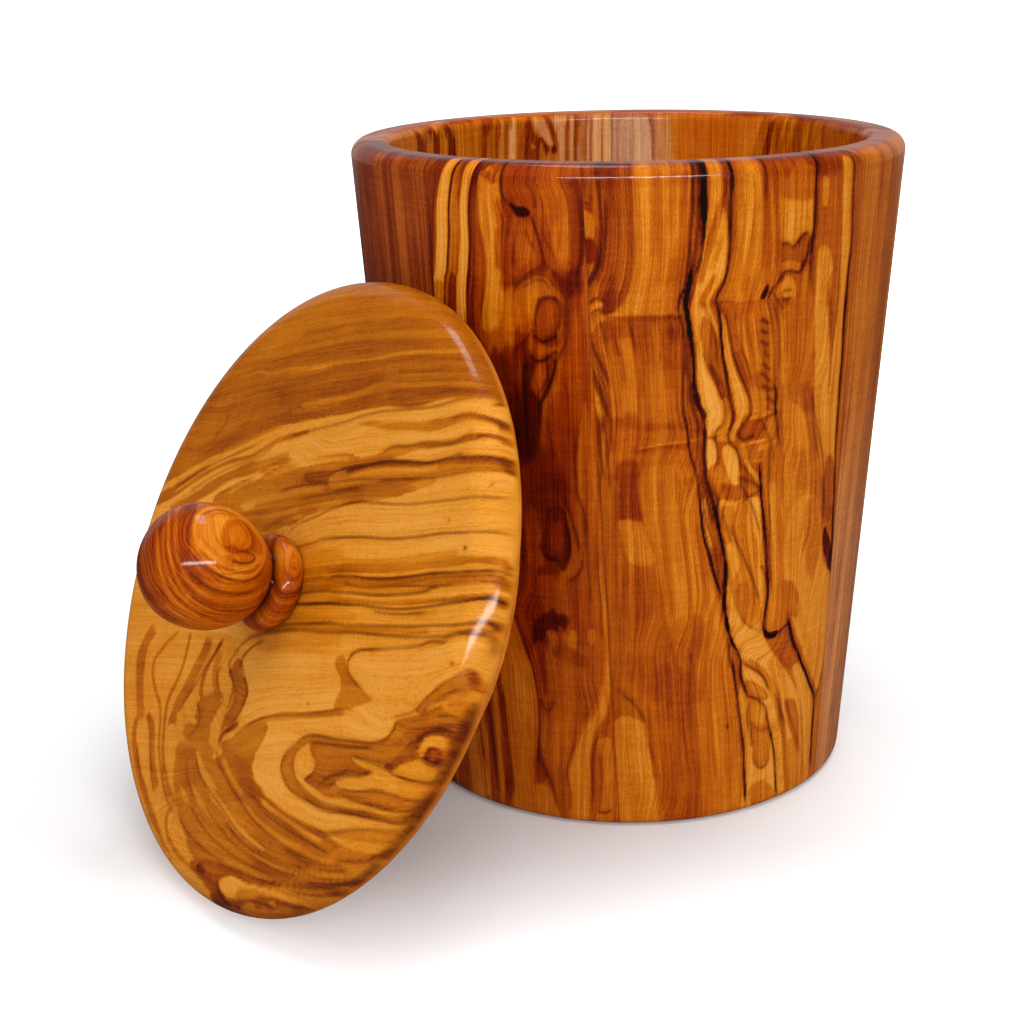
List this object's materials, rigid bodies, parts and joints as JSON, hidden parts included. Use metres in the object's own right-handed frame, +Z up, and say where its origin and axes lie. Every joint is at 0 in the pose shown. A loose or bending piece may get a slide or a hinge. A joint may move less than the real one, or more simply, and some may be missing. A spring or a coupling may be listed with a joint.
{
  "type": "wooden canister with lid",
  "caption": "Turned, tapered wooden canister glued up from upright lengths, with a loose round lid that has a ball knob; the lid stands on edge and leans on the pot.",
  "frame": {"origin": "centre of the pot's flat base, on the table", "axes": "+Z up along the pot's axis; the lid leans on the pot's -X -Y side"},
  "size_m": [0.2135, 0.2223, 0.177],
  "materials": {
    "olive_flame": "satin oil varnish, flame figure with black veins",
    "olive_striped": "satin oil varnish, bright growth-ring stripes",
    "olive_plain": "satin oil varnish, plain straight grain",
    "olive_orange": "satin oil varnish, plain orange heartwood",
    "olive_lid": "satin oil varnish, flat-sawn swirls and a knot",
    "olive_board": "thin oil, flat-sawn board",
    "olive_knob": "gloss oil varnish, growth-ring contours"
  },
  "bodies": {
    "pot": {"wall_front_left": "olive_striped", "wall_front_right": "olive_flame", "wall_right_front": "olive_plain", "wall_right_back": "olive_plain", "wall_back_right": "olive_orange", "wall_back_centre": "olive_striped", "wall_back_left": "olive_striped", "wall_left_back": "olive_striped", "wall_left_front": "olive_plain", "bottom_board": "olive_board"},
    "lid": {"lid_board": "olive_lid", "lid_plug": "olive_board", "knob": "olive_knob"}
  },
  "joints": [
    {"name": "lid_lift", "type": "slide", "parent": "pot", "child": "lid", "axis": [-0.7086, -0.5675, 0.4194], "range_m": [0, 0.15]}
  ]
}
